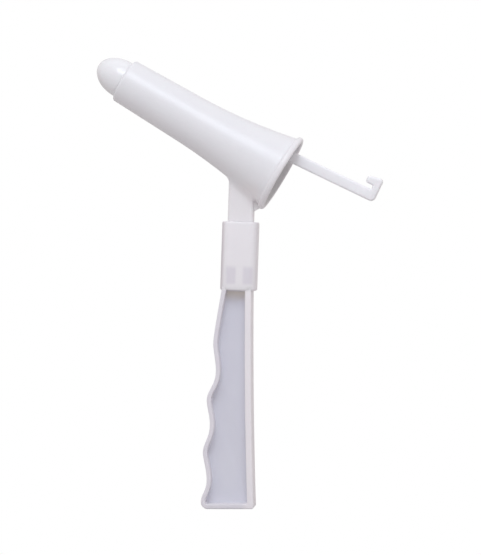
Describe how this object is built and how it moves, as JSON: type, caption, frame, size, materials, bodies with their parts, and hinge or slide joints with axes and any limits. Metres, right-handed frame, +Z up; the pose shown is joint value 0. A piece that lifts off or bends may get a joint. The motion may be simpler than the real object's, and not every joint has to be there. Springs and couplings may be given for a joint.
{
  "type": "anoscope",
  "caption": "One-use plastic anoscope: a trumpet-shaped speculum tube on a stem, plugged into a finger grip, with a domed obturator on a hooked pull rod.",
  "frame": {"origin": "middle of the grip's flat butt, on the surface it rests on", "axes": "+Z up along the grip, +X towards the user's side, where the tube's lip and the hook are, +Y across the object; the mid-plane is Y = 0"},
  "size_m": [0.1287, 0.0368, 0.2034],
  "materials": {
    "tube_plastic": "smooth milky polypropylene with a soft gloss",
    "grip_plastic": "milky polypropylene with a fine satin grain, faintly bluish where it is thin",
    "nose_plastic": "polished milky polypropylene",
    "rod_plastic": "milky polypropylene with a soft gloss, faintly lavender"
  },
  "bodies": {
    "handle": {"grip_handle": "grip_plastic"},
    "speculum": {"speculum_tube": "tube_plastic"},
    "obturator": {"obturator_nose": "nose_plastic", "pull_rod": "rod_plastic"}
  },
  "joints": [
    {"name": "stem_unplug", "type": "slide", "parent": "handle", "child": "speculum", "axis": [0.0436, 0, 0.999], "range_m": [0, 0.03]},
    {"name": "obturator_pull", "type": "slide", "parent": "speculum", "child": "obturator", "axis": [0.8545, 0, -0.5195], "range_m": [0, 0.115]}
  ]
}
